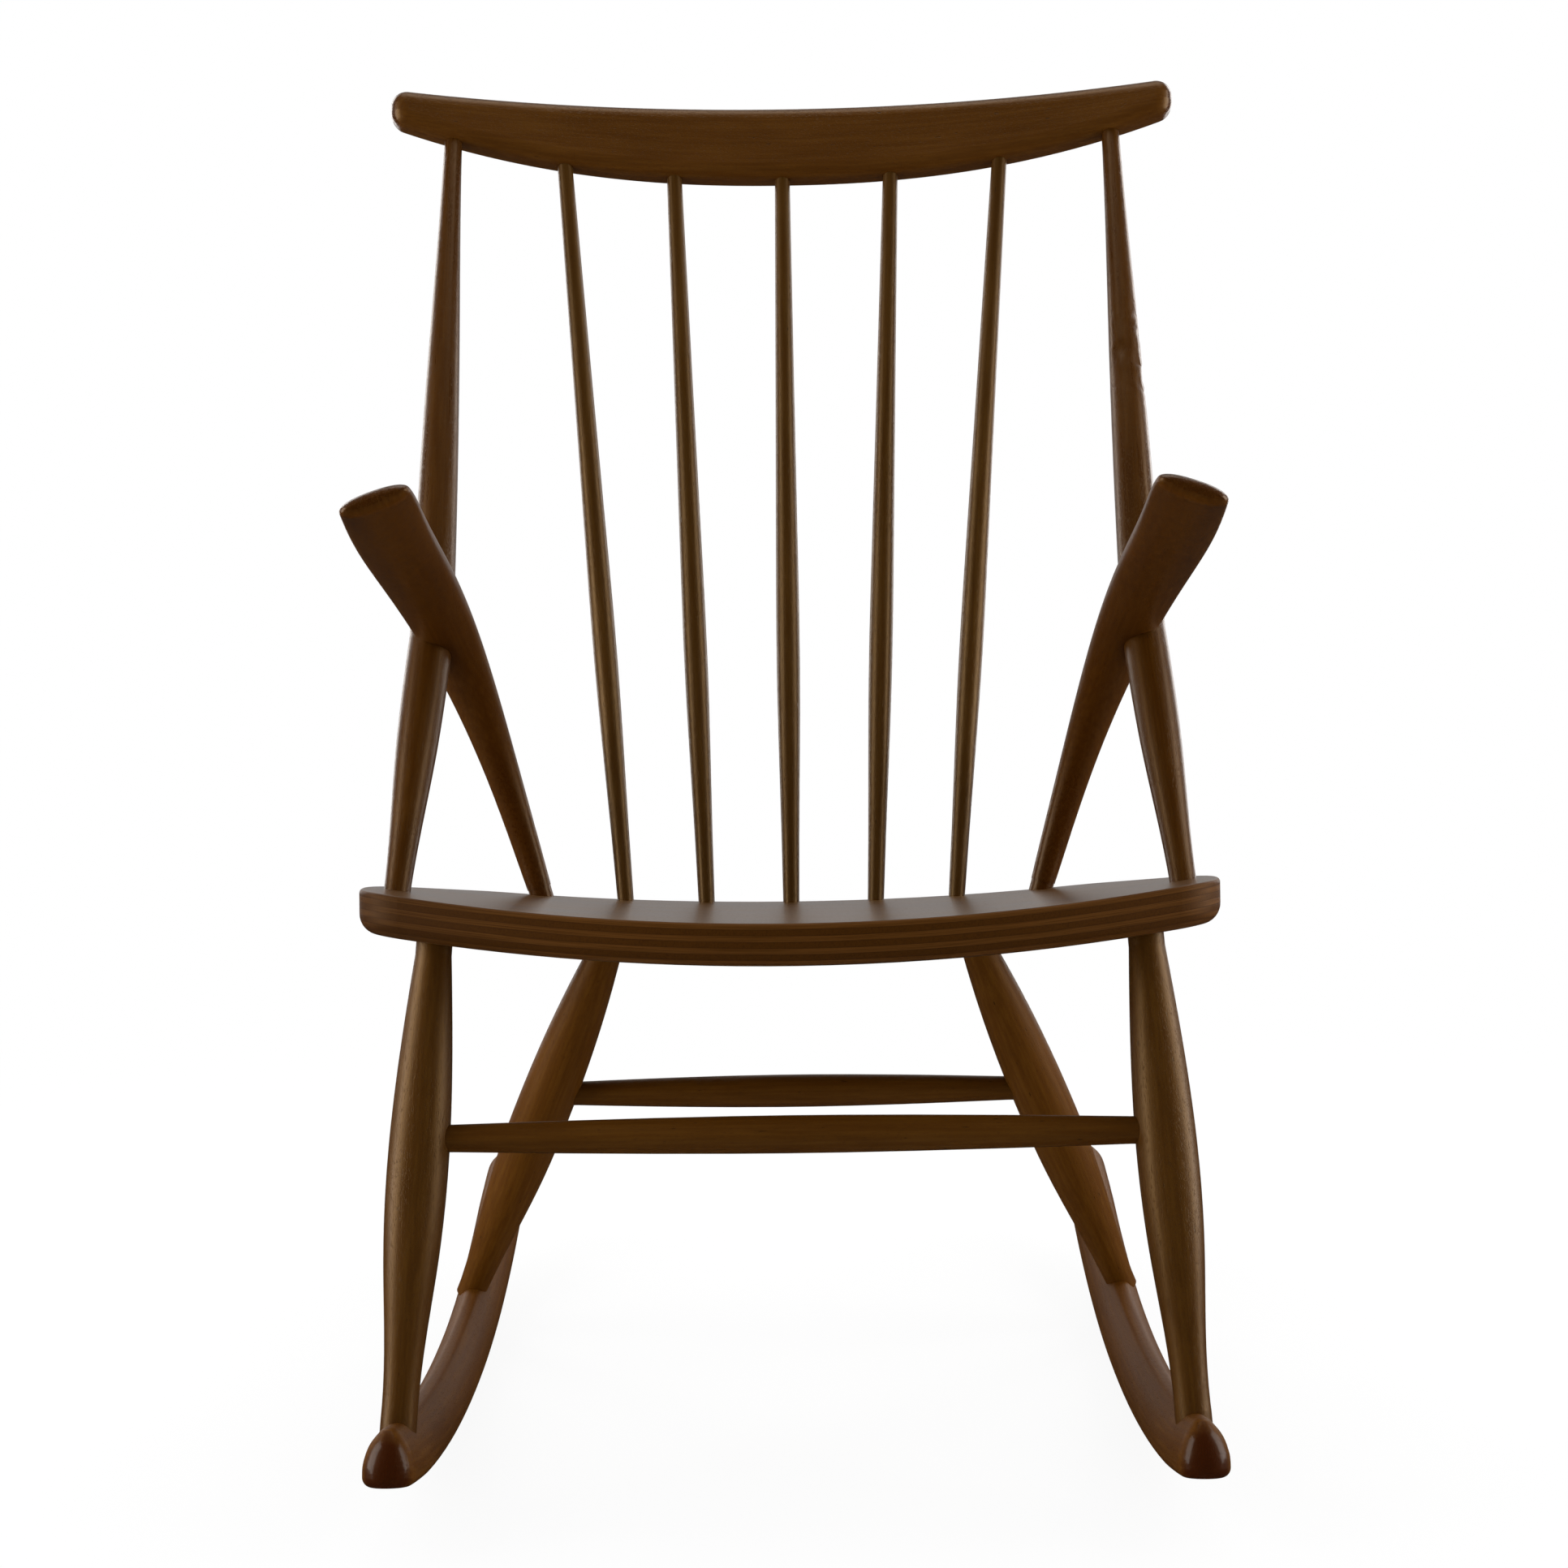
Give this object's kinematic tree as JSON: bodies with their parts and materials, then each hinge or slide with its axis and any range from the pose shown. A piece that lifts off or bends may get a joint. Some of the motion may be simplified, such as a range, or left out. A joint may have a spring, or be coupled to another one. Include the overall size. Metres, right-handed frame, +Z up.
{
  "type": "rocking chair",
  "caption": "Wooden rocking chair with a spindle back under a curved crest rail, sloping paddle arms, a bent plywood seat and turned legs on two rockers.",
  "frame": {"origin": "on the floor, under the middle of the chair's outline", "axes": "+X to the right as seen from in front, +Y towards the back, +Z up; a sitter faces -Y"},
  "size_m": [0.616, 0.6985, 0.9487],
  "materials": {
    "rocker_wood": "satin varnish over a honey brown stain",
    "turned_wood": "satin varnish over a honey brown stain",
    "spindle_wood": "satin varnish over a honey brown stain",
    "arm_wood": "satin varnish over a honey brown stain",
    "crest_wood": "satin varnish over a honey brown stain",
    "seat_plywood": "satin varnish over a honey brown stain"
  },
  "bodies": {
    "root": {"rocker_left": "rocker_wood", "rocker_right": "rocker_wood", "front_leg_left": "turned_wood", "front_leg_right": "turned_wood", "rear_leg_left": "turned_wood", "rear_leg_right": "turned_wood", "front_stretcher": "turned_wood", "rear_stretcher": "turned_wood", "seat": "seat_plywood", "spindle_1": "spindle_wood", "spindle_2": "spindle_wood", "spindle_3": "spindle_wood", "spindle_4": "spindle_wood", "spindle_5": "spindle_wood", "arm_post_left": "turned_wood", "arm_post_right": "turned_wood", "arm_left": "arm_wood", "arm_right": "arm_wood", "back_post_left": "turned_wood", "back_post_right": "turned_wood", "crest_rail": "crest_wood"}
  },
  "joints": []
}
